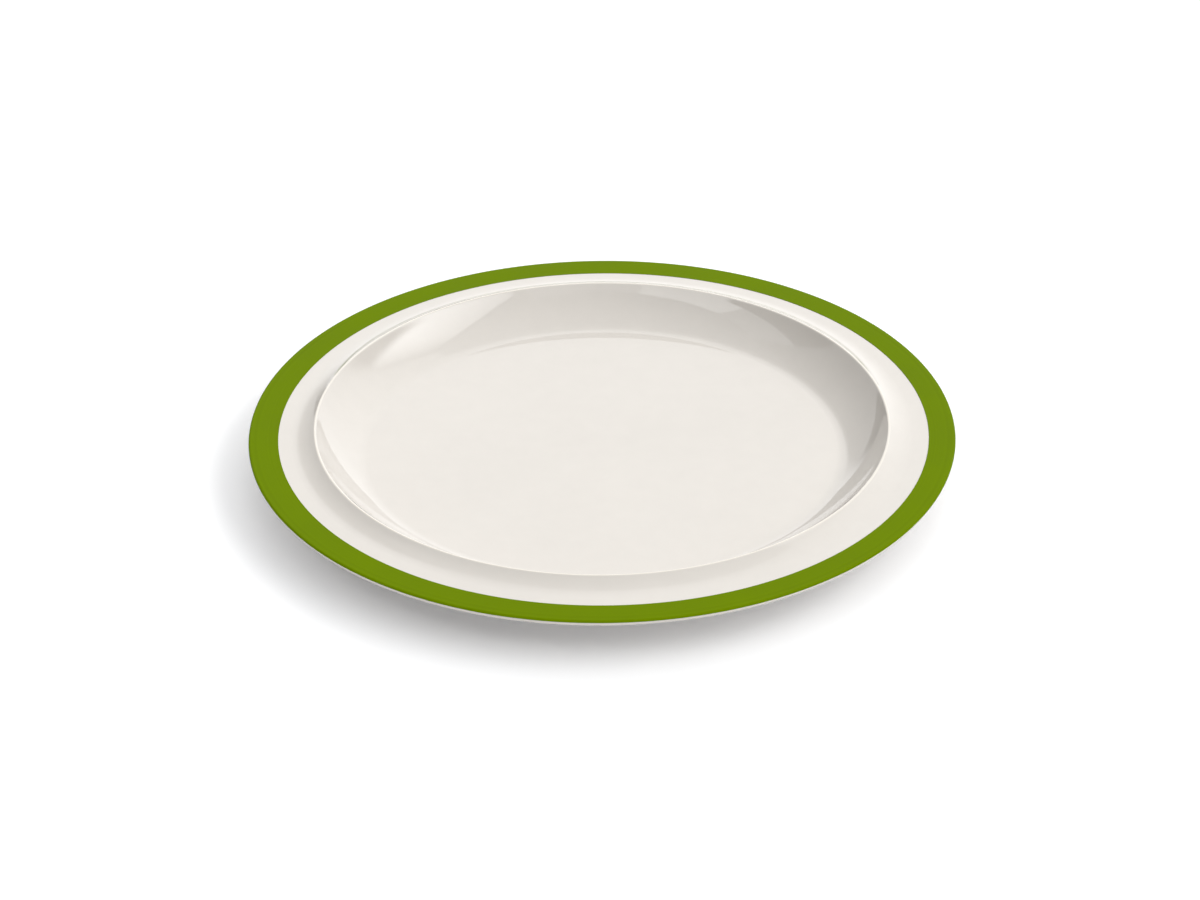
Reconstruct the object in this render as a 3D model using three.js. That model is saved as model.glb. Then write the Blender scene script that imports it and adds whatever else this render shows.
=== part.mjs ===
// China dinner plate: a fired clay body under a glaze coat, with an enamel band round the rim.
// Millimetres, +Z up, the foot ring standing on z = 0 and the plate's axis on the Z axis.
// The layers share their faces exactly: each one's outer surface is the inner surface of the next.

import * as THREE from 'three';

// Overall size and heights.
const PLATE_DIAMETER = 270; // over everything, enamel included
const WELL_DEPTH = 10.2; // flat of the rim down to the floor of the well
const CLAY_THICKNESS = 4.0; // clay in the floor and the wall of the well
const FOOT_HEIGHT = 4.0; // table up to the clay under the well

// Fired layers on the clay.
const GLAZE_THICKNESS = 0.3;
const ENAMEL_THICKNESS = 0.15;

// Widths across the rim and the well's wall, from the edge inwards.
const BAND_WIDTH = 10.85; // enamel, from the plate's edge
const PLAIN_RIM_WIDTH = 4.65; // flat between the band and the lip's outer curve
const LIP_CURVE_WIDTH = 9.8; // hollow curve from the flat up to the lip's crest
const WALL_WIDTH = 19.5; // crest of the lip to the edge of the well's floor

// Raised lip round the well.
const LIP_RISE = 2.85; // crest above the flat of the rim
const LIP_CREST_RADIUS = 0.6; // rounding of the clay

// Slope of the well's wall, as shares of its mean slope: gentle at the floor, steep at the lip.
const WALL_FOOT_SLOPE = 0.835;
const WALL_TOP_SLOPE = 1.596;

// Edge and underside of the rim, in clay.
const EDGE_TOP_RADIUS = 0.4;
const EDGE_BOTTOM_RADIUS = 1.6;
const RIM_TAPER = THREE.MathUtils.degToRad(3.2); // the underside drops this much towards the lip
const SHOULDER_RADIUS = 8.0; // hollow between the rim's underside and the wall

// Foot ring, in clay.
const FOOT_INSET = 8.0; // edge of the well's floor to the middle of the foot's face
const FOOT_FACE_WIDTH = 2.6; // bare face that stands on the table
const FOOT_LEAN = THREE.MathUtils.degToRad(70); // slope of the foot's sides
const FOOT_TIP_RADIUS = 0.8;
const FOOT_ROOT_RADIUS = 1.5;
const GLAZE_STOP_HEIGHT = 1.2; // the glaze is wiped off below this height

// Facets.
const SEGMENTS = 60; // round the plate, a multiple of four
const ARC_STEPS = { wallFoot: 2, wall: 3, crest: 3, lipCurve: 3, edge: 2, shoulder: 2, foot: 2 };

// Places worked out from the sizes above.
const QUARTER_TURN = Math.PI / 2;
const CLAY_RADIUS = PLATE_DIAMETER / 2 - ENAMEL_THICKNESS - GLAZE_THICKNESS;
const BAND_INNER_RADIUS = PLATE_DIAMETER / 2 - BAND_WIDTH;
const FLAT_INNER_RADIUS = BAND_INNER_RADIUS - PLAIN_RIM_WIDTH;
const LIP_RADIUS = FLAT_INNER_RADIUS - LIP_CURVE_WIDTH;
const FLOOR_RADIUS = LIP_RADIUS - WALL_WIDTH;
const FOOT_RADIUS = FLOOR_RADIUS - FOOT_INSET;
const FLOOR_HEIGHT = FOOT_HEIGHT + CLAY_THICKNESS;
const RIM_HEIGHT = FLOOR_HEIGHT + WELL_DEPTH;

// Draws an outline in the (radius, height) plane with lines and arcs that run smoothly on.
// Each station keeps the outward normal, which lies to the left of the way the pen is heading.
class Pen {
  constructor(radius, height) {
    this.radius = radius;
    this.height = height;
    this.heading = 0;
    this.stations = [];
    this.marks = {};
    this.drop();
  }

  drop() {
    const [nr, nh] = [-Math.sin(this.heading), Math.cos(this.heading)];
    this.stations.push({ radius: this.radius, height: this.height, nr, nh });
  }

  mark(name) {
    this.marks[name] = this.stations.length - 1;
  }

  line(length) {
    this.radius += length * Math.cos(this.heading);
    this.height += length * Math.sin(this.heading);
    this.drop();
  }

  lineToRadius(radius) {
    this.line((radius - this.radius) / Math.cos(this.heading));
    this.radius = radius;
  }

  lineToHeight(height) {
    this.line((height - this.height) / Math.sin(this.heading));
  }

  // Centre of the circle that touches the pen's way on its left, or on its right for side -1.
  centre(arcRadius, side = 1) {
    return [
      this.radius - side * arcRadius * Math.sin(this.heading),
      this.height + side * arcRadius * Math.cos(this.heading),
    ];
  }

  // A positive turn hollows the surface, a negative one rounds it.
  arc(arcRadius, turn, steps) {
    const side = Math.sign(turn);
    const [centreRadius, centreHeight] = this.centre(arcRadius, side);
    for (let step = 1; step <= steps; step += 1) {
      this.heading += turn / steps;
      this.radius = centreRadius + side * arcRadius * Math.sin(this.heading);
      this.height = centreHeight - side * arcRadius * Math.cos(this.heading);
      this.drop();
    }
  }
}

// The wall is two arcs, tight at the floor and wide above, that end on the lip's crest rounding.
function solveWall(crestHeight) {
  const meanSlope = Math.atan2(crestHeight - FLOOR_HEIGHT, WALL_WIDTH);
  const footSlope = WALL_FOOT_SLOPE * meanSlope;
  const topSlope = WALL_TOP_SLOPE * meanSlope;
  const run = WALL_WIDTH - LIP_CREST_RADIUS * Math.sin(topSlope);
  const rise = crestHeight - FLOOR_HEIGHT + LIP_CREST_RADIUS * Math.cos(topSlope);
  const footRun = Math.sin(footSlope);
  const footRise = 1 - Math.cos(footSlope);
  const topRun = Math.sin(topSlope) - footRun;
  const topRise = Math.cos(footSlope) - Math.cos(topSlope);
  const scale = footRun * topRise - topRun * footRise;
  return {
    footSlope,
    topSlope,
    footRadius: (run * topRise - topRun * rise) / scale,
    topRadius: (footRun * rise - run * footRise) / scale,
  };
}

// The lip's outer side is one hollow arc from the crest rounding down to the flat of the rim.
function solveLipCurve(crestHeight) {
  const crestRise = crestHeight - RIM_HEIGHT;
  const reach = LIP_CURVE_WIDTH ** 2 + crestRise ** 2 - LIP_CREST_RADIUS ** 2;
  const radius = reach / (2 * (crestRise + LIP_CREST_RADIUS));
  return { radius, slope: Math.atan2(LIP_CURVE_WIDTH, radius - crestRise) };
}

// Runs the rim's underside in to the shoulder and round it, onto the back of the wall.
function drawShoulder(pen, wallCentre, backRadius) {
  const [filletRadius, filletHeight] = pen.centre(SHOULDER_RADIUS);
  const across = filletRadius - wallCentre[0];
  const up = filletHeight - wallCentre[1];
  const [alongR, alongH] = [Math.cos(pen.heading), Math.sin(pen.heading)];
  const advance = across * alongR + up * alongH;
  const reach = backRadius + SHOULDER_RADIUS;
  const length = -advance - Math.sqrt(advance ** 2 - across ** 2 - up ** 2 + reach ** 2);
  const toFillet = [across + length * alongR, up + length * alongH];
  const heading = Math.atan2(-toFillet[0], toFillet[1]);
  pen.line(length);
  pen.arc(SHOULDER_RADIUS, heading - pen.heading, ARC_STEPS.shoulder);
}

// Down the foot's outer side, from the flat under the wall to the bare face.
function drawFootOuterSide(pen) {
  pen.arc(FOOT_ROOT_RADIUS, FOOT_LEAN, ARC_STEPS.foot);
  pen.lineToHeight(GLAZE_STOP_HEIGHT);
  pen.mark('outerGlazeStop');
  pen.lineToHeight(FOOT_TIP_RADIUS * (1 - Math.cos(FOOT_LEAN)));
  pen.arc(FOOT_TIP_RADIUS, -FOOT_LEAN, ARC_STEPS.foot);
}

// Up its inner side, from the bare face to the flat under the well.
function drawFootInnerSide(pen) {
  pen.arc(FOOT_TIP_RADIUS, -FOOT_LEAN, ARC_STEPS.foot);
  pen.lineToHeight(GLAZE_STOP_HEIGHT);
  pen.mark('innerGlazeStop');
  pen.lineToHeight(FOOT_HEIGHT - FOOT_ROOT_RADIUS * (1 - Math.cos(FOOT_LEAN)));
  pen.arc(FOOT_ROOT_RADIUS, FOOT_LEAN, ARC_STEPS.foot);
}

// How far a foot side reaches, from the bare face to where it meets the flat under the well.
function footSideWidth() {
  const roundings = FOOT_TIP_RADIUS + FOOT_ROOT_RADIUS;
  const straightHeight = FOOT_HEIGHT - roundings * (1 - Math.cos(FOOT_LEAN));
  return roundings * Math.sin(FOOT_LEAN) + straightHeight / Math.tan(FOOT_LEAN);
}

// The clay's whole outline, from the axis over the top, round the edge and back underneath.
function drawClayOutline() {
  const crestHeight = RIM_HEIGHT + LIP_RISE - LIP_CREST_RADIUS;
  const wall = solveWall(crestHeight);
  const lipCurve = solveLipCurve(crestHeight);
  const pen = new Pen(0, FLOOR_HEIGHT);
  pen.lineToRadius(FLOOR_RADIUS);
  pen.arc(wall.footRadius, wall.footSlope, ARC_STEPS.wallFoot);
  const wallCentre = pen.centre(wall.topRadius);
  pen.arc(wall.topRadius, wall.topSlope - wall.footSlope, ARC_STEPS.wall);
  pen.arc(LIP_CREST_RADIUS, -wall.topSlope - lipCurve.slope, ARC_STEPS.crest);
  pen.arc(lipCurve.radius, lipCurve.slope, ARC_STEPS.lipCurve);
  pen.lineToRadius(BAND_INNER_RADIUS);
  pen.mark('bandInner');
  pen.lineToRadius(CLAY_RADIUS - EDGE_TOP_RADIUS);
  pen.arc(EDGE_TOP_RADIUS, -QUARTER_TURN, ARC_STEPS.edge);
  pen.mark('widest');
  pen.arc(EDGE_BOTTOM_RADIUS, RIM_TAPER - QUARTER_TURN, ARC_STEPS.edge);
  drawShoulder(pen, wallCentre, wall.topRadius + CLAY_THICKNESS);
  const backTurn = -Math.PI + wall.footSlope - pen.heading;
  pen.arc(wall.topRadius + CLAY_THICKNESS, backTurn, ARC_STEPS.wall);
  pen.arc(wall.footRadius + CLAY_THICKNESS, -wall.footSlope, ARC_STEPS.wallFoot);
  pen.lineToRadius(FOOT_RADIUS + FOOT_FACE_WIDTH / 2 + footSideWidth());
  drawFootOuterSide(pen);
  pen.lineToRadius(FOOT_RADIUS - FOOT_FACE_WIDTH / 2);
  drawFootInnerSide(pen);
  pen.lineToRadius(0);
  return pen;
}

// Profile points of some stations, raised above the clay along their normals.
function raise(stations, height) {
  return stations.map(({ radius, height: level, nr, nh }) => {
    const raisedRadius = radius === 0 ? 0 : radius + height * nr;
    return new THREE.Vector2(raisedRadius, level + height * nh);
  });
}

// Closed profile of a layer that lies between two heights above the clay.
// A layer that reaches the axis starts and ends there, and any other closes on itself.
function layerProfile(stations, bottom, top) {
  const outside = raise(stations, top);
  const inside = raise(stations, bottom).reverse();
  if (outside[0].x === 0) {
    return [...outside, ...inside];
  }
  if (inside[0].x === 0) {
    return [...inside, ...outside];
  }
  return [...outside, ...inside, outside[0].clone()];
}

function revolve(profile) {
  const geometry = new THREE.LatheGeometry([...profile].reverse(), SEGMENTS);
  geometry.rotateX(QUARTER_TURN);
  return geometry;
}

function piece(name, profile, material) {
  const mesh = new THREE.Mesh(revolve(profile), material);
  mesh.name = name;
  return mesh;
}

const outline = drawClayOutline();
const { stations, marks } = outline;
const coatStations = stations.slice(0, marks.outerGlazeStop + 1);
const footWellStations = stations.slice(marks.innerGlazeStop);
const bandStations = stations.slice(marks.bandInner, marks.widest + 1);

const bisque = new THREE.MeshStandardMaterial({ color: 0xe6dfd2, roughness: 0.85, metalness: 0 });
const glaze = new THREE.MeshStandardMaterial({ color: 0xefe9e2, roughness: 0.12, metalness: 0 });
const enamel = new THREE.MeshStandardMaterial({ color: 0x718c02, roughness: 0.45, metalness: 0 });

const plate = new THREE.Group();
plate.add(piece('clay_body', raise(stations, 0), bisque));
plate.add(piece('glaze_coat', layerProfile(coatStations, 0, GLAZE_THICKNESS), glaze));
plate.add(piece('foot_well_glaze', layerProfile(footWellStations, 0, GLAZE_THICKNESS), glaze));
const bandTop = GLAZE_THICKNESS + ENAMEL_THICKNESS;
plate.add(piece('rim_band', layerProfile(bandStations, GLAZE_THICKNESS, bandTop), enamel));

export default plate;
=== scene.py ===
"""China dinner plate: the fired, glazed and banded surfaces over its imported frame.

Metres, +Z up, with the foot ring standing on z = 0 and the plate's axis on the Z axis.
Every layer is one outline turned round that axis: the bare clay, the glaze over its face and back,
the glaze inside the foot ring, and the enamel band that is lined on over the glaze.
"""

import math

import bmesh
import bpy
from bpy.props import FloatProperty, FloatVectorProperty, IntProperty, PointerProperty
from mathutils import Matrix, Vector


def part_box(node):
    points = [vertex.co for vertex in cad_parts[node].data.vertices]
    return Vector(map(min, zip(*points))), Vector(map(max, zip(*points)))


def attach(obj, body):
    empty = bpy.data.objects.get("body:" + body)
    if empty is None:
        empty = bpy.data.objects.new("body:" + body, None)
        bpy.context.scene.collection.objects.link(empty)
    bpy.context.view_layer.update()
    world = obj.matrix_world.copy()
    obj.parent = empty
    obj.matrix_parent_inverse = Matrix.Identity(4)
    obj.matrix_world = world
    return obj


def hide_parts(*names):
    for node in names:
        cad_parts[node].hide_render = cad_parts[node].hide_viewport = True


bl_info = {
    "name": "China dinner plate",
    "version": (1, 0, 0),
    "blender": (4, 5, 0),
    "location": "3D View > Sidebar > Plate",
    "description": "Turns, glazes and bands a china dinner plate and lights it on a white table",
    "category": "Add Mesh",
}

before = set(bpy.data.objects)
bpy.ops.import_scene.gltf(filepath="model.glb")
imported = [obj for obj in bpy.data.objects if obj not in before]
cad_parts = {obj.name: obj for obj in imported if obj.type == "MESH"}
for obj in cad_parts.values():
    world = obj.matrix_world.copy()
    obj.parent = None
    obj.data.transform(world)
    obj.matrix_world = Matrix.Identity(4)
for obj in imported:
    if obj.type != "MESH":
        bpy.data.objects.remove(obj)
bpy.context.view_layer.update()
BODY = "root"
MM = 0.001
FULL_TURN = 2 * math.pi


def node_radius(node):
    """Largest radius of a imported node, which is turned round the Z axis."""
    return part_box(node)[1].x


def node_top(node):
    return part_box(node)[1].z


def linear(hex_colour):
    """An sRGB hex colour as the linear red, green, blue that shaders take."""
    def channel(value):
        return value / 12.92 if value <= 0.04045 else ((value + 0.055) / 1.055) ** 2.4

    return [channel(int(hex_colour[i : i + 2], 16) / 255) for i in (1, 3, 5)]


# ---------------------------------------------------------------- sizes, colours and light


class PlateSizes(bpy.types.PropertyGroup):
    """Sizes of the fired plate and its coats, in metres and radians."""

    diameter: FloatProperty(
        name="Diameter", description="Over everything, enamel included",
        default=2 * node_radius("rim_band"), unit="LENGTH")
    well_depth: FloatProperty(
        name="Well depth", description="Flat of the rim down to the floor of the well",
        default=10.2 * MM, unit="LENGTH")
    clay_thickness: FloatProperty(
        name="Clay thickness", description="Clay in the floor and the wall of the well",
        default=4.0 * MM, unit="LENGTH")
    foot_height: FloatProperty(
        name="Foot height", description="Table up to the clay under the well",
        default=4.0 * MM, unit="LENGTH")
    glaze_thickness: FloatProperty(
        name="Glaze thickness", description="Coat of glaze on the clay",
        default=0.3 * MM, unit="LENGTH")
    enamel_thickness: FloatProperty(
        name="Enamel thickness", description="Band of enamel on the glaze",
        default=0.15 * MM, unit="LENGTH")
    band_width: FloatProperty(
        name="Band width", description="Enamel, from the plate's edge",
        default=10.85 * MM, unit="LENGTH")
    band_offset: FloatVectorProperty(
        name="Band offset", description="How far off the plate's axis the band's inner edge was lined",
        default=(0.55 * MM, -0.85 * MM), size=2, unit="LENGTH", precision=5)
    plain_rim_width: FloatProperty(
        name="Plain rim width", description="Flat between the band and the lip's outer curve",
        default=4.65 * MM, unit="LENGTH")
    lip_curve_width: FloatProperty(
        name="Lip curve width", description="Hollow curve from the flat up to the lip's crest",
        default=9.8 * MM, unit="LENGTH")
    wall_width: FloatProperty(
        name="Wall width", description="Crest of the lip to the edge of the well's floor",
        default=19.5 * MM, unit="LENGTH")
    lip_rise: FloatProperty(
        name="Lip rise", description="Crest above the flat of the rim",
        default=2.85 * MM, unit="LENGTH")
    lip_crest_radius: FloatProperty(
        name="Lip crest radius", description="Rounding of the clay along the crest",
        default=0.6 * MM, unit="LENGTH")
    wall_foot_slope: FloatProperty(
        name="Wall foot slope",
        description="Slope where the wall's two arcs meet, as a share of its mean slope",
        default=0.835)
    wall_top_slope: FloatProperty(
        name="Wall top slope",
        description="Slope at the lip, as a share of the wall's mean slope",
        default=1.596)
    edge_top_radius: FloatProperty(
        name="Edge top radius", description="Rounding of the clay over the rim's edge",
        default=0.4 * MM, unit="LENGTH")
    edge_bottom_radius: FloatProperty(
        name="Edge bottom radius", description="Rounding of the clay under the rim's edge",
        default=1.6 * MM, unit="LENGTH")
    rim_taper: FloatProperty(
        name="Rim taper", description="Drop of the rim's underside towards the lip",
        default=math.radians(3.2), unit="ROTATION")
    shoulder_radius: FloatProperty(
        name="Shoulder radius", description="Hollow between the rim's underside and the wall",
        default=8.0 * MM, unit="LENGTH")
    foot_inset: FloatProperty(
        name="Foot inset", description="Edge of the well's floor to the middle of the foot's face",
        default=8.0 * MM, unit="LENGTH")
    foot_face_width: FloatProperty(
        name="Foot face width", description="Bare face that stands on the table",
        default=2.6 * MM, unit="LENGTH")
    foot_lean: FloatProperty(
        name="Foot lean", description="Slope of the foot's sides",
        default=math.radians(70), unit="ROTATION")
    foot_tip_radius: FloatProperty(
        name="Foot tip radius", description="Rounding beside the foot's face",
        default=0.8 * MM, unit="LENGTH")
    foot_root_radius: FloatProperty(
        name="Foot root radius", description="Hollow where the foot leaves the plate's underside",
        default=1.5 * MM, unit="LENGTH")
    glaze_stop_height: FloatProperty(
        name="Glaze stop height", description="The glaze is wiped off the foot below this height",
        default=1.2 * MM, unit="LENGTH")
    glaze_bead_height: FloatProperty(
        name="Glaze bead height", description="Extra thickness where the glaze rolls up at the wiped foot",
        default=0.12 * MM, unit="LENGTH")
    glaze_bead_width: FloatProperty(
        name="Glaze bead width", description="How far the rolled edge of the glaze reaches up the foot",
        default=1.1 * MM, unit="LENGTH")
    enamel_bead_height: FloatProperty(
        name="Enamel bead height", description="Extra thickness along the lined edge of the band",
        default=0.05 * MM, unit="LENGTH")
    enamel_bead_width: FloatProperty(
        name="Enamel bead width", description="Width of the thicker line along the edge of the band",
        default=0.5 * MM, unit="LENGTH")
    segments: IntProperty(
        name="Segments", description="Facets round the plate",
        default=288, min=24)


class PlateColours(bpy.types.PropertyGroup):
    """Colours of the fired materials and of the table under them, as linear values."""

    glaze: FloatVectorProperty(
        name="Glaze", description="Cream clay seen through clear glaze",
        default=linear("#D2CDC6"), subtype="COLOR", min=0, max=1)
    # Paler colour along the lip's crest: the glaze running thin there, and a painted highlight line all
    # round.
    thin_glaze_and_highlight: FloatVectorProperty(
        name="Thin glaze", description="Where the glaze runs thin over the crest of the lip",
        default=linear("#E2DCD2"), subtype="COLOR", min=0, max=1)
    iron_speck: FloatVectorProperty(
        name="Iron speck", description="Fine specks of iron under the glaze",
        default=linear("#B9AC98"), subtype="COLOR", min=0, max=1)
    enamel: FloatVectorProperty(
        name="Enamel", description="Olive green band",
        default=linear("#667E00"), subtype="COLOR", min=0, max=1)
    bisque: FloatVectorProperty(
        name="Bisque", description="Bare fired clay of the foot",
        default=linear("#DDD3C2"), subtype="COLOR", min=0, max=1)
    shelf_wear: FloatVectorProperty(
        name="Shelf wear", description="Grey rubbed into the bare foot",
        default=linear("#A89C8B"), subtype="COLOR", min=0, max=1)
    table: FloatVectorProperty(
        name="Table", description="Frosted white acrylic under the plate",
        default=linear("#F8F8F8"), subtype="COLOR", min=0, max=1)
    table_lamp: FloatVectorProperty(
        name="Table lamp", description="Cool light that comes up through the table",
        default=linear("#E1E7F3"), subtype="COLOR", min=0, max=1)


class StudioLight(bpy.types.PropertyGroup):
    """Brightness of the soft light tent, as radiance, and the camera's place."""

    roof: FloatProperty(
        name="Roof", description="Even light from the roof", default=1.21, min=0)
    right: FloatProperty(
        name="Right", description="Brightest part of the right wall, the strongest light",
        default=7.2, min=0)
    back: FloatProperty(
        name="Back", description="Wall behind the plate", default=2.1, min=0)
    back_left: FloatProperty(
        name="Back left", description="Weak wall behind and to the left", default=0.9, min=0)
    left: FloatProperty(
        name="Left", description="Top of the left wall, which is dark below", default=1.6, min=0)
    front_left: FloatProperty(
        name="Front left", description="Top of the wall in front and to the left",
        default=3.4, min=0)
    front: FloatProperty(
        name="Front", description="Top of the wall over the camera", default=1.9, min=0)
    front_low: FloatProperty(
        name="Front, low", description="Wall beside the camera and under it", default=0.7, min=0)
    table_glow: FloatProperty(
        name="Table glow", description="What comes up through the table from below",
        default=0.1, min=0)
    camera_distance: FloatProperty(
        name="Camera distance", description="Camera to the middle of the rim's plane",
        default=1.2074, unit="LENGTH")
    camera_elevation: FloatProperty(
        name="Camera elevation", description="Height of the camera over the rim's plane, as an angle",
        default=math.radians(30.56), unit="ROTATION")
    camera_roll: FloatProperty(
        name="Camera roll", description="Turn of the camera about its own axis",
        default=math.radians(-0.45), unit="ROTATION")
    focal_length: FloatProperty(
        name="Focal length", description="Of the long lens, in millimetres on a 36 mm sensor",
        default=94.48, unit="CAMERA")


# ---------------------------------------------------------------- outline of the clay

WALL_STEP = math.radians(2.0)
ARC_STEP = math.radians(6.0)
LINE_STEP = 6.0 * MM
FOOT_STEP = 0.15 * MM
BEAD_STEPS = 6
ON_AXIS = MM / 1000


class Pen:
    """Draws an outline in the (radius, height) plane with lines and arcs that run smoothly on.

    Each station keeps the outward normal, which lies to the left of the way the pen is heading,
    and how far the pen has come.
    """

    def __init__(self, radius, height):
        self.radius = radius
        self.height = height
        self.heading = 0.0
        self.way = 0.0
        self.stations = []
        self.marks = {}
        self.drop()

    def drop(self):
        normal = (-math.sin(self.heading), math.cos(self.heading))
        self.stations.append((Vector((self.radius, self.height)), Vector(normal), self.way))

    def mark(self, name):
        self.marks[name] = len(self.stations) - 1

    def line(self, length, step=LINE_STEP):
        count = max(1, math.ceil(length / step))
        for _ in range(count):
            self.radius += length / count * math.cos(self.heading)
            self.height += length / count * math.sin(self.heading)
            self.way += length / count
            self.drop()

    def line_to_radius(self, radius, step=LINE_STEP):
        self.line((radius - self.radius) / math.cos(self.heading), step)
        self.radius = radius
        point, normal, way = self.stations.pop()
        self.stations.append((Vector((radius, point.y)), normal, way))

    def line_to_height(self, height, step=LINE_STEP):
        self.line((height - self.height) / math.sin(self.heading), step)

    def centre(self, arc_radius, side=1):
        """Centre of the circle that touches the pen's way on its left, or on its right for side -1."""
        return Vector((
            self.radius - side * arc_radius * math.sin(self.heading),
            self.height + side * arc_radius * math.cos(self.heading),
        ))

    def arc(self, arc_radius, turn, step=ARC_STEP):
        """A positive turn hollows the surface, a negative one rounds it."""
        side = math.copysign(1, turn)
        centre = self.centre(arc_radius, side)
        count = max(2, math.ceil(abs(turn) / step))
        for _ in range(count):
            self.heading += turn / count
            self.way += arc_radius * abs(turn) / count
            self.radius = centre.x + side * arc_radius * math.sin(self.heading)
            self.height = centre.y - side * arc_radius * math.cos(self.heading)
            self.drop()


def solve_wall(sizes, floor_height, crest_height):
    """Slopes and radii of the wall's two arcs: tight at the floor and wide above, ending on the crest."""
    mean_slope = math.atan2(crest_height - floor_height, sizes.wall_width)
    foot_slope = sizes.wall_foot_slope * mean_slope
    top_slope = sizes.wall_top_slope * mean_slope
    run = sizes.wall_width - sizes.lip_crest_radius * math.sin(top_slope)
    rise = crest_height - floor_height + sizes.lip_crest_radius * math.cos(top_slope)
    foot_run = math.sin(foot_slope)
    foot_rise = 1 - math.cos(foot_slope)
    top_run = math.sin(top_slope) - foot_run
    top_rise = math.cos(foot_slope) - math.cos(top_slope)
    scale = foot_run * top_rise - top_run * foot_rise
    foot_radius = (run * top_rise - top_run * rise) / scale
    top_radius = (foot_run * rise - run * foot_rise) / scale
    return foot_slope, top_slope, foot_radius, top_radius


def solve_lip_curve(sizes, crest_rise):
    """Radius and top slope of the hollow arc from the crest down to the flat of the rim."""
    reach = sizes.lip_curve_width**2 + crest_rise**2 - sizes.lip_crest_radius**2
    radius = reach / (2 * (crest_rise + sizes.lip_crest_radius))
    return radius, math.atan2(sizes.lip_curve_width, radius - crest_rise)


def draw_shoulder(pen, sizes, wall_centre, back_radius):
    """Runs the rim's underside in to the shoulder and round it, onto the back of the wall."""
    across, up = pen.centre(sizes.shoulder_radius) - wall_centre
    along_r, along_h = math.cos(pen.heading), math.sin(pen.heading)
    advance = across * along_r + up * along_h
    reach = back_radius + sizes.shoulder_radius
    length = -advance - math.sqrt(advance**2 - across**2 - up**2 + reach**2)
    heading = math.atan2(-(across + length * along_r), up + length * along_h)
    pen.line(length)
    pen.arc(sizes.shoulder_radius, heading - pen.heading)


def foot_side_width(sizes):
    """How far a foot side reaches, from the bare face to where it meets the flat under the well."""
    roundings = sizes.foot_tip_radius + sizes.foot_root_radius
    straight_height = sizes.foot_height - roundings * (1 - math.cos(sizes.foot_lean))
    return roundings * math.sin(sizes.foot_lean) + straight_height / math.tan(sizes.foot_lean)


def draw_foot_outer_side(pen, sizes):
    pen.arc(sizes.foot_root_radius, sizes.foot_lean)
    pen.line_to_height(sizes.glaze_stop_height, FOOT_STEP)
    pen.mark("outer_glaze_stop")
    pen.line_to_height(sizes.foot_tip_radius * (1 - math.cos(sizes.foot_lean)), FOOT_STEP)
    pen.arc(sizes.foot_tip_radius, -sizes.foot_lean)


def draw_foot_inner_side(pen, sizes):
    pen.arc(sizes.foot_tip_radius, -sizes.foot_lean)
    pen.line_to_height(sizes.glaze_stop_height, FOOT_STEP)
    pen.mark("inner_glaze_stop")
    root_height = sizes.foot_root_radius * (1 - math.cos(sizes.foot_lean))
    pen.line_to_height(sizes.foot_height - root_height, FOOT_STEP)
    pen.arc(sizes.foot_root_radius, sizes.foot_lean)


def draw_clay_outline(sizes):
    """The clay's whole outline, from the axis over the top, round the edge and back underneath."""
    floor_height = sizes.foot_height + sizes.clay_thickness
    rim_height = floor_height + sizes.well_depth
    crest_height = rim_height + sizes.lip_rise - sizes.lip_crest_radius
    clay_radius = sizes.diameter / 2 - sizes.enamel_thickness - sizes.glaze_thickness
    band_inner_radius = sizes.diameter / 2 - sizes.band_width
    lip_radius = band_inner_radius - sizes.plain_rim_width - sizes.lip_curve_width
    floor_radius = lip_radius - sizes.wall_width
    foot_radius = floor_radius - sizes.foot_inset
    foot_slope, top_slope, foot_arc, top_arc = solve_wall(sizes, floor_height, crest_height)
    lip_arc, lip_slope = solve_lip_curve(sizes, crest_height - rim_height)

    pen = Pen(0, floor_height)
    pen.line_to_radius(floor_radius)
    pen.arc(foot_arc, foot_slope, WALL_STEP)
    wall_centre = pen.centre(top_arc)
    pen.arc(top_arc, top_slope - foot_slope, WALL_STEP)
    pen.arc(sizes.lip_crest_radius, -top_slope - lip_slope)
    pen.arc(lip_arc, lip_slope, WALL_STEP)
    pen.line_to_radius(band_inner_radius)
    pen.mark("band_inner")
    bead = sizes.enamel_bead_width
    pen.line(2 * bead, bead / BEAD_STEPS)
    pen.line_to_radius(clay_radius - sizes.edge_top_radius)
    pen.arc(sizes.edge_top_radius, -FULL_TURN / 4)
    pen.mark("widest")
    pen.arc(sizes.edge_bottom_radius, sizes.rim_taper - FULL_TURN / 4)
    draw_shoulder(pen, sizes, wall_centre, top_arc + sizes.clay_thickness)
    pen.arc(top_arc + sizes.clay_thickness, foot_slope - math.pi - pen.heading, WALL_STEP)
    pen.arc(foot_arc + sizes.clay_thickness, -foot_slope, WALL_STEP)
    pen.line(pen.radius - foot_radius - sizes.foot_face_width / 2 - foot_side_width(sizes))
    draw_foot_outer_side(pen, sizes)
    pen.line(sizes.foot_face_width, FOOT_STEP)
    draw_foot_inner_side(pen, sizes)
    pen.line(pen.radius)
    return pen


def raised(stations, height):
    """Outline points of some stations, raised above the clay along their normals.

    height is a number, or a function of how far a station is from the first and the last of them.
    """
    first, last = stations[0][2], stations[-1][2]
    points = []
    for point, normal, way in stations:
        lift = height(way - first, last - way) if callable(height) else height
        place = point + lift * normal
        points.append(Vector((0, place.y)) if point.x < ON_AXIS else place)
    return points


def rounded_end(distance, height):
    """Height of a coat at a distance from its end, where it comes down in a quarter circle."""
    if distance >= height:
        return height
    return math.sqrt(max(0, height**2 - (height - distance) ** 2))


def swell(distance, width):
    """One at the end of a coat, falling smoothly to nothing at a width from it."""
    share = min(1, distance / width)
    return (1 - share) ** 2 * (1 + 2 * share)


# ---------------------------------------------------------------- turned meshes


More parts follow.
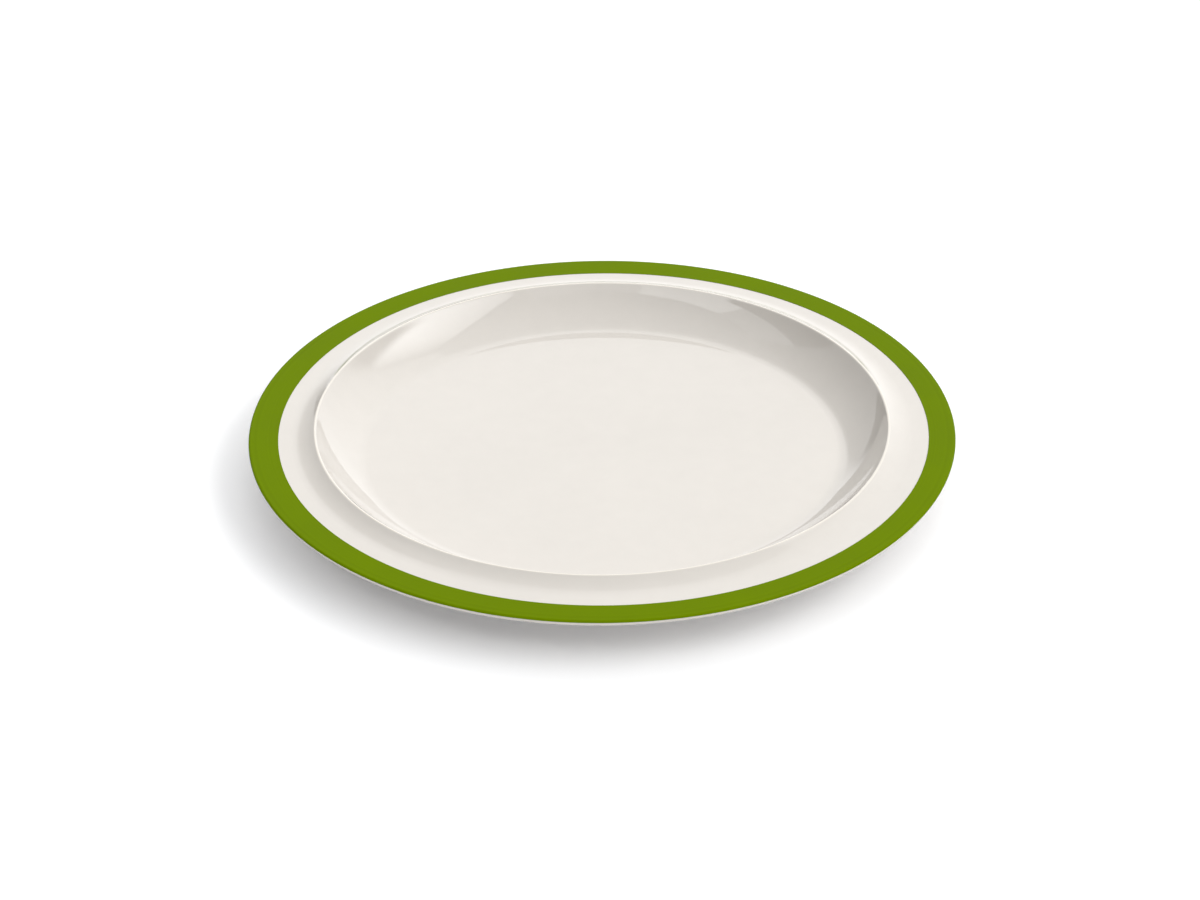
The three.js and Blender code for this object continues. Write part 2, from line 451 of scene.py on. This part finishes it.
def turned_mesh(name, outline, segments, closed):
    """A mesh of an outline turned round the Z axis. An outline point on the axis is one vertex."""
    bm = bmesh.new()
    rings = []
    for point in outline:
        if point.x == 0:
            rings.append([bm.verts.new((0, 0, point.y))])
            continue
        ring = []
        for index in range(segments):
            angle = FULL_TURN * index / segments
            ring.append(bm.verts.new((point.x * math.cos(angle), point.x * math.sin(angle), point.y)))
        rings.append(ring)
    pairs = list(zip(rings, rings[1:]))
    if closed:
        pairs.append((rings[-1], rings[0]))
    for inner, outer in pairs:
        for index in range(segments):
            corners = []
            for ring, at in ((inner, index), (outer, index), (outer, index + 1), (inner, index + 1)):
                vert = ring[at % len(ring)]
                if vert not in corners:
                    corners.append(vert)
            if len(corners) > 2:
                bm.faces.new(corners)
    bmesh.ops.recalc_face_normals(bm, faces=bm.faces)
    for face in bm.faces:
        face.smooth = True
    mesh = bpy.data.meshes.new(name)
    bm.to_mesh(mesh)
    bm.free()
    return mesh


def slide_inner_edge(mesh, offset, inner_radius, outer_radius):
    """Slides the inner edge of a flat band sideways, less and less towards its outer edge."""
    for vert in mesh.vertices:
        radius = math.hypot(vert.co.x, vert.co.y)
        share = (outer_radius - radius) / (outer_radius - inner_radius)
        vert.co.xy += Vector(offset) * min(1, max(0, share))


def add_piece(context, name, outline, material, node, closed=True):
    """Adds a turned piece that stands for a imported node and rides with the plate."""
    segments = context.scene.plate_sizes.segments
    mesh = turned_mesh(name, outline, segments, closed)
    mesh.materials.append(material)
    piece = bpy.data.objects.new(name, mesh)
    context.scene.collection.objects.link(piece)
    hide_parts(node)
    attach(piece, BODY)
    return piece


# ---------------------------------------------------------------- materials

GLAZE_DRIFT = 60 * MM
GLAZE_MOTTLE = 9 * MM
GLAZE_FLOW = 18 * MM
GLAZE_FLOW_DEPTH = 0.02 * MM
GLAZE_SKIN = 1.6 * MM
GLAZE_SKIN_DEPTH = 0.0015 * MM
# Width and fade of the pale line along the lip's crest: thin glaze, and a painted highlight drawn all
# round.
CREST_LINE = 0.25 * MM
CREST_LINE_FADE = 0.6 * MM
SPECK_SPACING = 14 * MM
SPECK_CORE = 0.008
SPECK_EDGE = 0.018

ENAMEL_DRIFT = 25 * MM
BRUSH_STROKE = 1.1 * MM
BRUSH_DEPTH = 0.02 * MM
ENAMEL_TOOTH = 0.8 * MM
ENAMEL_TOOTH_DEPTH = 0.008 * MM

BISQUE_GRAIN = 0.6 * MM
BISQUE_GRAIN_DEPTH = 0.05 * MM
RUBBED_PATCH = 12 * MM
RUBBED_SHARE = 0.45


def add_node(tree, kind, links=None, **settings):
    """Adds a shader node, with its own settings, values on its sockets and links into them.

    A setting is a property of the node. links maps a socket's name or number to a value or to
    another node's output.
    """
    node = tree.nodes.new(kind)
    for key, value in settings.items():
        setattr(node, key, value)
    for socket, source in (links or {}).items():
        if isinstance(source, bpy.types.NodeSocket):
            tree.links.new(source, node.inputs[socket])
        else:
            node.inputs[socket].default_value = source
    return node


def new_material(name):
    material = bpy.data.materials.new(name)
    material.use_nodes = True
    material.node_tree.nodes.clear()
    return material, material.node_tree


def pattern_scale(spacing):
    """Scale of a pattern whose features are about this far apart."""
    return 1 / spacing


def opaque(colour):
    return (*colour, 1)


def glazed_porcelain(name, colours, crest):
    """Cream china clay, dipped in clear glaze and fired: a deep even gloss over a soft warm body.

    The eye gets a sharp reflection that wanders a little where the glaze has flowed, a body colour
    that drifts by a shade across the plate, a thin pale line along the crest of the lip, which is
    partly the glaze running thin there and partly a painted highlight, and a few fine specks.
    crest is where that line runs, as a radius and a height.
    The specks are 0.2 to 0.5 mm across, drawn larger than real ones so that they show.
    """
    material, tree = new_material(name)
    place = add_node(tree, "ShaderNodeTexCoord").outputs["Object"]
    drift = add_node(tree, "ShaderNodeTexNoise", {
        "Vector": place, "Scale": pattern_scale(GLAZE_DRIFT), "Detail": 3, "Roughness": 0.5})
    mottle = add_node(tree, "ShaderNodeTexNoise", {
        "Vector": place, "Scale": pattern_scale(GLAZE_MOTTLE), "Detail": 4, "Roughness": 0.6})
    shade = add_node(tree, "ShaderNodeMath", {
        0: drift.outputs["Fac"], 1: mottle.outputs["Fac"]}, operation="ADD")
    shade = add_node(tree, "ShaderNodeMapRange", {
        "Value": shade.outputs[0], "From Min": 0.6, "From Max": 1.4, "To Min": 0.975, "To Max": 1.02})
    body = add_node(tree, "ShaderNodeMix", {
        "Factor": 1.0, "A": opaque(colours.glaze), "B": shade.outputs[0]},
        data_type="RGBA", blend_type="MULTIPLY")
    specks = add_node(tree, "ShaderNodeTexVoronoi", {
        "Vector": place, "Scale": pattern_scale(SPECK_SPACING), "Randomness": 1.0}, feature="F1")
    speck = add_node(tree, "ShaderNodeMapRange", {
        "Value": specks.outputs["Distance"], "From Min": SPECK_CORE, "From Max": SPECK_EDGE,
        "To Min": 0.25, "To Max": 0.0})
    body = add_node(tree, "ShaderNodeMix", {
        "Factor": speck.outputs[0], "A": body.outputs["Result"], "B": opaque(colours.iron_speck)},
        data_type="RGBA")
    # Painted highlight: a paler line all round the lip's crest, where the glaze also runs thin.
    parts = add_node(tree, "ShaderNodeSeparateXYZ", {0: place})
    flat = add_node(tree, "ShaderNodeCombineXYZ", {
        "X": parts.outputs["X"], "Y": parts.outputs["Y"]})
    radius = add_node(tree, "ShaderNodeVectorMath", {0: flat.outputs[0]}, operation="LENGTH")
    section = add_node(tree, "ShaderNodeCombineXYZ", {
        "X": radius.outputs["Value"], "Y": parts.outputs["Z"]})
    away = add_node(tree, "ShaderNodeVectorMath", {
        0: section.outputs[0], 1: (*crest, 0)}, operation="DISTANCE")
    thin = add_node(tree, "ShaderNodeMapRange", {
        "Value": away.outputs["Value"], "From Min": CREST_LINE, "From Max": CREST_LINE_FADE,
        "To Min": 1.0, "To Max": 0.0})
    body = add_node(tree, "ShaderNodeMix", {
        "Factor": thin.outputs[0], "A": body.outputs["Result"], "B": opaque(colours.thin_glaze_and_highlight)},
        data_type="RGBA")
    gloss = add_node(tree, "ShaderNodeMapRange", {
        "Value": mottle.outputs["Fac"], "From Min": 0.3, "From Max": 0.7,
        "To Min": 0.01, "To Max": 0.025})
    flow = add_node(tree, "ShaderNodeTexNoise", {
        "Vector": place, "Scale": pattern_scale(GLAZE_FLOW), "Detail": 1, "Roughness": 0.4})
    peel = add_node(tree, "ShaderNodeTexNoise", {
        "Vector": place, "Scale": pattern_scale(GLAZE_SKIN), "Detail": 2, "Roughness": 0.5})
    wander = add_node(tree, "ShaderNodeBump", {
        "Strength": 1.0, "Distance": GLAZE_FLOW_DEPTH, "Height": flow.outputs["Fac"]})
    skin = add_node(tree, "ShaderNodeBump", {
        "Strength": 1.0, "Distance": GLAZE_SKIN_DEPTH, "Height": peel.outputs["Fac"],
        "Normal": wander.outputs["Normal"]})
    shader = add_node(tree, "ShaderNodeBsdfPrincipled", {
        "Base Color": body.outputs["Result"], "Roughness": gloss.outputs[0],
        "IOR": 1.55, "Normal": skin.outputs["Normal"]})
    add_node(tree, "ShaderNodeOutputMaterial", {"Surface": shader.outputs["BSDF"]})
    return material


def olive_enamel(name, colours):
    """On-glaze enamel, lined on from a turning wheel and fired soft: a near-matt, nearly even green.

    The eye gets a full green with hardly any sheen, faint streaks that run round with the brush, and
    a fine tooth, drawn coarser than a real one so that it shows.
    """
    material, tree = new_material(name)
    place = add_node(tree, "ShaderNodeTexCoord").outputs["Object"]
    drift = add_node(tree, "ShaderNodeTexNoise", {
        "Vector": place, "Scale": pattern_scale(ENAMEL_DRIFT), "Detail": 3, "Roughness": 0.5})
    across = add_node(tree, "ShaderNodeVectorMath", {0: place}, operation="LENGTH")
    strokes = add_node(tree, "ShaderNodeTexNoise", {
        "W": across.outputs["Value"], "Scale": pattern_scale(BRUSH_STROKE), "Detail": 2},
        noise_dimensions="1D")
    shade = add_node(tree, "ShaderNodeMath", {
        0: drift.outputs["Fac"], 1: strokes.outputs["Fac"]}, operation="ADD")
    shade = add_node(tree, "ShaderNodeMapRange", {
        "Value": shade.outputs[0], "From Min": 0.6, "From Max": 1.4, "To Min": 0.94, "To Max": 1.06})
    body = add_node(tree, "ShaderNodeMix", {
        "Factor": 1.0, "A": opaque(colours.enamel), "B": shade.outputs[0]},
        data_type="RGBA", blend_type="MULTIPLY")
    satin = add_node(tree, "ShaderNodeMapRange", {
        "Value": drift.outputs["Fac"], "From Min": 0.3, "From Max": 0.7,
        "To Min": 0.42, "To Max": 0.52})
    grain = add_node(tree, "ShaderNodeTexNoise", {
        "Vector": place, "Scale": pattern_scale(ENAMEL_TOOTH), "Detail": 3, "Roughness": 0.6})
    tooth = add_node(tree, "ShaderNodeBump", {
        "Strength": 1.0, "Distance": ENAMEL_TOOTH_DEPTH, "Height": grain.outputs["Fac"]})
    brush = add_node(tree, "ShaderNodeBump", {
        "Strength": 1.0, "Distance": BRUSH_DEPTH, "Height": strokes.outputs["Fac"],
        "Normal": tooth.outputs["Normal"]})
    shader = add_node(tree, "ShaderNodeBsdfPrincipled", {
        "Base Color": body.outputs["Result"], "Roughness": satin.outputs[0],
        "IOR": 1.5, "Specular IOR Level": 0.01, "Normal": brush.outputs["Normal"]})
    add_node(tree, "ShaderNodeOutputMaterial", {"Surface": shader.outputs["BSDF"]})
    return material


def bare_bisque(name, colours):
    """Unglazed china clay, sponged smooth and fired: dry, pale and fine grained.

    The eye gets no shine at all, a sandy grain, and grey rubbed in where the foot has slid on
    shelves. The grain is about a tenth of a millimetre on real clay, and drawn coarser so that it
    shows.
    """
    material, tree = new_material(name)
    place = add_node(tree, "ShaderNodeTexCoord").outputs["Object"]
    grain = add_node(tree, "ShaderNodeTexNoise", {
        "Vector": place, "Scale": pattern_scale(BISQUE_GRAIN), "Detail": 4, "Roughness": 0.65})
    patches = add_node(tree, "ShaderNodeTexNoise", {
        "Vector": place, "Scale": pattern_scale(RUBBED_PATCH), "Detail": 5, "Roughness": 0.6})
    rubbed = add_node(tree, "ShaderNodeMapRange", {
        "Value": patches.outputs["Fac"], "From Min": 0.5, "From Max": 0.7,
        "To Min": 0.0, "To Max": RUBBED_SHARE})
    body = add_node(tree, "ShaderNodeMix", {
        "Factor": rubbed.outputs[0], "A": opaque(colours.bisque), "B": opaque(colours.shelf_wear)},
        data_type="RGBA")
    speckle = add_node(tree, "ShaderNodeMapRange", {
        "Value": grain.outputs["Fac"], "From Min": 0.3, "From Max": 0.7,
        "To Min": 0.9, "To Max": 1.05})
    body = add_node(tree, "ShaderNodeMix", {
        "Factor": 1.0, "A": body.outputs["Result"], "B": speckle.outputs[0]},
        data_type="RGBA", blend_type="MULTIPLY")
    dry = add_node(tree, "ShaderNodeMapRange", {
        "Value": rubbed.outputs[0], "From Min": 0.0, "From Max": RUBBED_SHARE,
        "To Min": 0.9, "To Max": 0.7})
    tooth = add_node(tree, "ShaderNodeBump", {
        "Strength": 1.0, "Distance": BISQUE_GRAIN_DEPTH, "Height": grain.outputs["Fac"]})
    shader = add_node(tree, "ShaderNodeBsdfPrincipled", {
        "Base Color": body.outputs["Result"], "Roughness": dry.outputs[0],
        "IOR": 1.5, "Normal": tooth.outputs["Normal"]})
    add_node(tree, "ShaderNodeOutputMaterial", {"Surface": shader.outputs["BSDF"]})
    return material


def frosted_acrylic(name, colours, glow):
    """White acrylic table, sanded matt and lit a little from below: no shine, only a soft shadow."""
    material, tree = new_material(name)
    shader = add_node(tree, "ShaderNodeBsdfPrincipled", {
        "Base Color": opaque(colours.table), "Roughness": 0.95, "IOR": 1.5,
        "Specular IOR Level": 0.0, "Emission Strength": glow,
        "Emission Color": opaque(colours.table_lamp)})
    add_node(tree, "ShaderNodeOutputMaterial", {"Surface": shader.outputs["BSDF"]})
    return material


# ---------------------------------------------------------------- studio light

# How soft the panels' edges are, in degrees. The two sides of the back wall are softer.
EDGE_FADE = 1.0
BACK_FADE = 12

# The plain white that the camera sees behind the table, as radiance.
BACKDROP = 1.1

# Keeps a direction near the horizon from dividing by zero.
LEAST_RISE = 0.01

# Edges of the flat roof, in shares of its height over the table.
ROOF_SIDE = 0.61
ROOF_FRONT = 1.0
ROOF_BACK = 0.65

# The flat right wall, in shares of its distance: how high it starts, where it is brightest, how
# bright it still is at its top, and how far it runs. Edges are where it is dark and where it is lit.
RIGHT_FOOT = (0.6, 0.8)
RIGHT_BRIGHTEST = 0.75
RIGHT_TOP = 1 / ROOF_SIDE
RIGHT_TOP_SHARE = 0.45
RIGHT_TOP_FADE = 0.01
RIGHT_FRONT_EDGE = (-1.35, -1.3)
RIGHT_BACK_EDGE = (0.9, 0.05)

# Lit stretches of the round wall, in degrees round the table from its right and above the table.
WALL_TOP = 57
HIGH_FROM = 44
BACK_SIDES = (30, 110)
BACK_LEFT_SIDES = (100, 161)
BACK_LEFT_HEIGHTS = (8, WALL_TOP)
LEFT_SIDES = (161, 200)
LEFT_HEIGHTS = (HIGH_FROM, 58)
FRONT_LEFT_SIDES = (200, 250)
FRONT_SIDES = (250, 307)
FRONT_LOW_SIDES = (250, 328)
FRONT_LOW_HEIGHTS = (4, HIGH_FROM)


def edges(low, high, fade):
    """The two soft edges of a range, each as the value where it is dark and where it is lit."""
    return (low - fade / 2, low + fade / 2), (high + fade / 2, high - fade / 2)


def lit_between(tree, value, start, end):
    """One inside a range of a value and zero outside it, with a smooth change over each edge."""
    rise, fall = (
        add_node(tree, "ShaderNodeMapRange", {
            "Value": value, "From Min": dark, "From Max": lit},
            interpolation_type="SMOOTHSTEP").outputs[0]
        for dark, lit in (start, end))
    return add_node(tree, "ShaderNodeMath", {0: rise, 1: fall}, operation="MULTIPLY").outputs[0]


def panel(tree, brightness, *masks):
    """Radiance of a panel of the tent, dimmed by masks that are one where it is lit."""
    for mask in masks:
        brightness = add_node(
            tree, "ShaderNodeMath", {0: brightness, 1: mask}, operation="MULTIPLY").outputs[0]
    return brightness


def ratio(tree, part, whole):
    """part over whole, for the side of the sphere where whole is above zero."""
    whole = add_node(tree, "ShaderNodeMath", {0: whole, 1: LEAST_RISE}, operation="MAXIMUM").outputs[0]
    return add_node(tree, "ShaderNodeMath", {0: part, 1: whole}, operation="DIVIDE").outputs[0]


def wall(tree, direction, brightness, sides, heights=(HIGH_FROM, WALL_TOP), side_fade=EDGE_FADE):
    """Radiance of a lit stretch of the tent's round wall."""
    middle = math.radians(sum(sides) / 2)
    faced = add_node(tree, "ShaderNodeVectorRotate", {
        "Vector": direction, "Axis": (0, 0, 1), "Angle": -middle}, rotation_type="AXIS_ANGLE")
    parts = add_node(tree, "ShaderNodeSeparateXYZ", {0: faced.outputs[0]})
    turn = add_node(tree, "ShaderNodeMath", {
        0: parts.outputs["Y"], 1: parts.outputs["X"]}, operation="ARCTAN2").outputs[0]
    up = add_node(tree, "ShaderNodeMath", {0: parts.outputs["Z"]}, operation="ARCSINE").outputs[0]
    reach = math.radians(sides[1]) - middle
    low, high = (math.radians(height) for height in heights)
    return panel(
        tree,
        brightness,
        lit_between(tree, turn, *edges(-reach, reach, math.radians(side_fade))),
        lit_between(tree, up, *edges(low, high, math.radians(EDGE_FADE))))


def roof(tree, x, y, z, brightness):
    """Radiance of the flat roof."""
    fade = math.radians(EDGE_FADE)
    return panel(
        tree,
        brightness,
        lit_between(tree, ratio(tree, x, z), *edges(-ROOF_SIDE, ROOF_SIDE, fade)),
        lit_between(tree, ratio(tree, y, z), *edges(-ROOF_FRONT, ROOF_BACK, fade)))


def right_wall(tree, x, y, z, brightness):
    """Radiance of the flat right wall.

    It is brightest a little under half its height. It fades slowly to its top, which ends at the
    roof in a crisp straight edge, and to its back edge.
    """
    along = ratio(tree, y, x)
    up = ratio(tree, z, x)
    top_edge = (RIGHT_TOP + RIGHT_TOP_FADE, RIGHT_TOP - RIGHT_TOP_FADE)
    falling = add_node(tree, "ShaderNodeMapRange", {
        "Value": up, "From Min": RIGHT_BRIGHTEST, "From Max": RIGHT_TOP,
        "To Min": 1.0, "To Max": RIGHT_TOP_SHARE})
    return panel(
        tree,
        brightness,
        lit_between(tree, up, RIGHT_FOOT, top_edge),
        lit_between(tree, along, RIGHT_FRONT_EDGE, RIGHT_BACK_EDGE),
        falling.outputs[0])


def light_tent(context):
    """A white tent of soft light whose roof and walls are lit unequally.

    The camera itself sees plain white all round.
    """
    light = context.scene.studio_light
    world = bpy.data.worlds.new("light_tent")
    world.use_nodes = True
    tree = world.node_tree
    tree.nodes.clear()
    direction = add_node(tree, "ShaderNodeTexCoord").outputs["Generated"]
    parts = add_node(tree, "ShaderNodeSeparateXYZ", {0: direction})
    axes = [parts.outputs[axis] for axis in "XYZ"]
    panels = (
        roof(tree, *axes, light.roof),
        right_wall(tree, *axes, light.right),
        wall(tree, direction, light.back, BACK_SIDES, (0, WALL_TOP), BACK_FADE),
        wall(tree, direction, light.back_left, BACK_LEFT_SIDES, BACK_LEFT_HEIGHTS),
        wall(tree, direction, light.left, LEFT_SIDES, LEFT_HEIGHTS),
        wall(tree, direction, light.front_left, FRONT_LEFT_SIDES),
        wall(tree, direction, light.front, FRONT_SIDES),
        wall(tree, direction, light.front_low, FRONT_LOW_SIDES, FRONT_LOW_HEIGHTS),
    )
    brightest = panels[0]
    for other in panels[1:]:
        brightest = add_node(
            tree, "ShaderNodeMath", {0: brightest, 1: other}, operation="MAXIMUM").outputs[0]
    tent = add_node(tree, "ShaderNodeBackground", {"Strength": brightest})
    backdrop = add_node(tree, "ShaderNodeBackground", {"Strength": BACKDROP})
    seen = add_node(tree, "ShaderNodeLightPath")
    both = add_node(tree, "ShaderNodeMixShader", {
        0: seen.outputs["Is Camera Ray"], 1: tent.outputs[0], 2: backdrop.outputs[0]})
    add_node(tree, "ShaderNodeOutputWorld", {"Surface": both.outputs[0]})
    context.scene.world = world


# ---------------------------------------------------------------- operators

TABLE_SIZE = 6.0
TABLE_SQUARES = 8
SENSOR_WIDTH = 36

# Where the camera aims in the rim's plane, from the plate's axis along +X and +Y.
AIM_RIGHT = -0.8 * MM
AIM_FORWARD = -19.5 * MM


class PLATE_OT_press_clay(bpy.types.Operator):
    """Press the clay body: rim, lip, well and foot ring in one piece"""

    bl_idname = "plate.press_clay"
    bl_label = "Press clay body"

    def execute(self, context):
        pen = draw_clay_outline(context.scene.plate_sizes)
        bisque = bare_bisque("bare_bisque", context.scene.plate_colours)
        outline = raised(pen.stations, 0)
        add_piece(context, "pressed_clay", outline, bisque, "clay_body", closed=False)
        return {"FINISHED"}


class PLATE_OT_dip_glaze(bpy.types.Operator):
    """Glaze the plate, outside and inside the foot ring, with the edges rolled up at the wiped foot"""

    bl_idname = "plate.dip_glaze"
    bl_label = "Dip in glaze"

    def execute(self, context):
        sizes = context.scene.plate_sizes
        pen = draw_clay_outline(sizes)

        def coat(from_edge):
            bead = sizes.glaze_bead_height * swell(from_edge, sizes.glaze_bead_width)
            return rounded_end(from_edge, sizes.glaze_thickness + bead)

        highest = max((point for point, _, _ in pen.stations), key=lambda point: point.y)
        crest = (highest.x, highest.y + sizes.glaze_thickness)
        glaze = glazed_porcelain("glazed_porcelain", context.scene.plate_colours, crest)
        outer = pen.stations[: pen.marks["outer_glaze_stop"] + 1]
        outline = raised(outer, lambda _, to_end: coat(to_end)) + raised(outer, 0)[-2::-1]
        add_piece(context, "face_and_back_glaze", outline, glaze, "glaze_coat", closed=False)
        inner = pen.stations[pen.marks["inner_glaze_stop"] :]
        outline = raised(inner, lambda from_start, _: coat(from_start))[::-1] + raised(inner, 0)[1:]
        add_piece(context, "foot_well_coat", outline, glaze, "foot_well_glaze", closed=False)
        return {"FINISHED"}


class PLATE_OT_line_band(bpy.types.Operator):
    """Line the enamel band round the rim, a little thicker along its inner edge"""

    bl_idname = "plate.line_band"
    bl_label = "Line enamel band"

    def execute(self, context):
        sizes = context.scene.plate_sizes
        pen = draw_clay_outline(sizes)

        def coat(from_start, to_end):
            bead = sizes.enamel_bead_height * swell(from_start, sizes.enamel_bead_width)
            thick = sizes.enamel_thickness + bead
            return sizes.glaze_thickness + rounded_end(min(from_start, to_end), thick)

        enamel = olive_enamel("olive_enamel", context.scene.plate_colours)
        band = pen.stations[pen.marks["band_inner"] : pen.marks["widest"] + 1]
        outline = raised(band, coat) + raised(band, sizes.glaze_thickness)[-2:0:-1]
        piece = add_piece(context, "lined_band", outline, enamel, "rim_band")
        inner_radius = band[0][0].x
        flat_radius = band[-1][0].x - sizes.edge_top_radius
        slide_inner_edge(piece.data, sizes.band_offset, inner_radius, flat_radius)
        return {"FINISHED"}


class PLATE_OT_set_studio(bpy.types.Operator):
    """Lay the white table, set the light tent and place the camera"""

    bl_idname = "plate.set_studio"
    bl_label = "Set studio"

    def execute(self, context):
        scene = context.scene
        light = scene.studio_light
        bm = bmesh.new()
        bmesh.ops.create_grid(
            bm, x_segments=TABLE_SQUARES, y_segments=TABLE_SQUARES, size=TABLE_SIZE / 2)
        mesh = bpy.data.meshes.new("white_table")
        bm.to_mesh(mesh)
        bm.free()
        acrylic = frosted_acrylic("frosted_acrylic", scene.plate_colours, light.table_glow)
        mesh.materials.append(acrylic)
        table = bpy.data.objects.new("white_table", mesh)
        scene.collection.objects.link(table)
        light_tent(context)
        scene.view_settings.view_transform = "Standard"

        rim_plane = Vector((0, 0, node_top("rim_band") - scene.plate_sizes.enamel_thickness))
        elevation = light.camera_elevation
        reach = Vector((0, -math.cos(elevation), math.sin(elevation))) * light.camera_distance
        camera = bpy.data.objects.new("camera", bpy.data.cameras.new("camera"))
        camera.data.lens = light.focal_length
        camera.data.sensor_width = SENSOR_WIDTH
        camera.location = rim_plane + reach
        aim = rim_plane + Vector((AIM_RIGHT, AIM_FORWARD, 0))
        look = (aim - camera.location).to_track_quat("-Z", "Y").to_matrix()
        camera.rotation_euler = (look @ Matrix.Rotation(light.camera_roll, 3, "Z")).to_euler()
        scene.collection.objects.link(camera)
        scene.camera = camera
        return {"FINISHED"}


class VIEW3D_PT_plate(bpy.types.Panel):
    """Lists the steps that make the plate, in order"""

    bl_label = "China dinner plate"
    bl_space_type = "VIEW_3D"
    bl_region_type = "UI"
    bl_category = "Plate"

    def draw(self, context):
        for step in STEPS:
            self.layout.operator(step.bl_idname)
        for group in ("plate_sizes", "plate_colours", "studio_light"):
            settings = getattr(context.scene, group)
            box = self.layout.box()
            for name in settings.bl_rna.properties.keys():
                if name not in ("rna_type", "name"):
                    box.prop(settings, name)


STEPS = (PLATE_OT_press_clay, PLATE_OT_dip_glaze, PLATE_OT_line_band, PLATE_OT_set_studio)
CLASSES = (PlateSizes, PlateColours, StudioLight, *STEPS, VIEW3D_PT_plate)


def register():
    for cls in CLASSES:
        bpy.utils.register_class(cls)
    bpy.types.Scene.plate_sizes = PointerProperty(type=PlateSizes)
    bpy.types.Scene.plate_colours = PointerProperty(type=PlateColours)
    bpy.types.Scene.studio_light = PointerProperty(type=StudioLight)


def unregister():
    del bpy.types.Scene.studio_light
    del bpy.types.Scene.plate_colours
    del bpy.types.Scene.plate_sizes
    for cls in reversed(CLASSES):
        bpy.utils.unregister_class(cls)


def main():
    register()
    bpy.ops.plate.press_clay()
    bpy.ops.plate.dip_glaze()
    bpy.ops.plate.line_band()
    bpy.ops.plate.set_studio()


if __name__ == "__main__":
    main()
